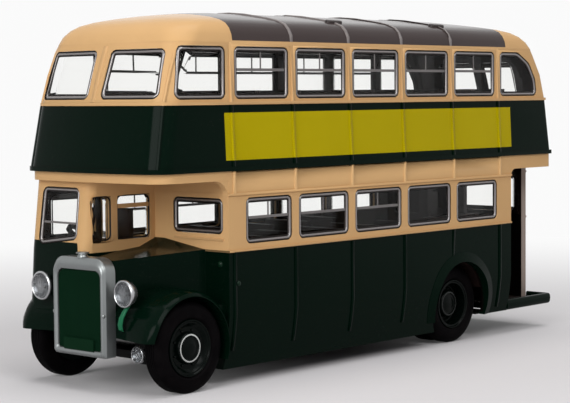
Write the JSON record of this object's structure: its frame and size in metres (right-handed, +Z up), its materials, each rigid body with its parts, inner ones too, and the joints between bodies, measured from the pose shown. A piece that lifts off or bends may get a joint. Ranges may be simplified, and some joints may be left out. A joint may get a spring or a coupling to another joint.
{
  "type": "scale model of a half-cab double decker bus",
  "caption": "Die-cast scale model of a half-cab double decker bus with an open rear platform, two-part body, clear windows and free-rolling wheels.",
  "frame": {"origin": "on the road at the middle of the model's length and width", "axes": "+X towards the radiator, +Y towards the nearside with the open platform, +Z up"},
  "size_m": [0.1043, 0.0308, 0.0571],
  "materials": {
    "cream_paint": "gloss cream paint on zinc die casting",
    "green_paint": "gloss dark green paint on zinc die casting",
    "clear_plastic": "clear moulded plastic",
    "lens_plastic": "clear moulded plastic lens",
    "silver_plastic": "silver finished plastic",
    "green_plastic": "dark green plastic",
    "tyre_plastic": "satin black",
    "steel": "plain steel",
    "black_plastic": "matt black plastic",
    "interior_plastic": "matt dark brown plastic"
  },
  "bodies": {
    "bus_body": {"base_plate": "black_plastic", "cab_glazing": "clear_plastic", "cab_interior": "interior_plastic", "fog_lamp": "silver_plastic", "fog_lamp_lens": "lens_plastic", "front_base_screw": "steel", "headlamp_nearside": "silver_plastic", "headlamp_nearside_lens": "lens_plastic", "headlamp_offside": "silver_plastic", "headlamp_offside_lens": "lens_plastic", "lower_deck": "green_paint", "lower_glazing": "clear_plastic", "lower_interior": "interior_plastic", "number_plate": "black_plastic", "radiator_core": "green_plastic", "radiator_shell": "silver_plastic", "rear_base_screw": "steel", "rear_platform": "black_plastic", "staircase": "interior_plastic", "steering_wheel": "black_plastic", "upper_deck": "cream_paint", "upper_glazing": "clear_plastic", "upper_interior": "interior_plastic"},
    "front_wheelset": {"front_axle": "steel", "front_hub_nearside": "green_plastic", "front_hub_offside": "green_plastic", "front_tyre_nearside": "tyre_plastic", "front_tyre_offside": "tyre_plastic"},
    "rear_wheelset": {"rear_axle": "steel", "rear_hub_nearside": "green_plastic", "rear_hub_offside": "green_plastic", "rear_tyre_nearside": "tyre_plastic", "rear_tyre_offside": "tyre_plastic"}
  },
  "joints": [
    {"name": "front_wheels_roll", "type": "hinge", "parent": "bus_body", "child": "front_wheelset", "pos_m": [0.0428, 0, 0.00675], "axis": [0, 1, 0], "continuous": true},
    {"name": "rear_wheels_roll", "type": "hinge", "parent": "bus_body", "child": "rear_wheelset", "pos_m": [-0.02325, 0, 0.00675], "axis": [0, 1, 0], "continuous": true}
  ]
}
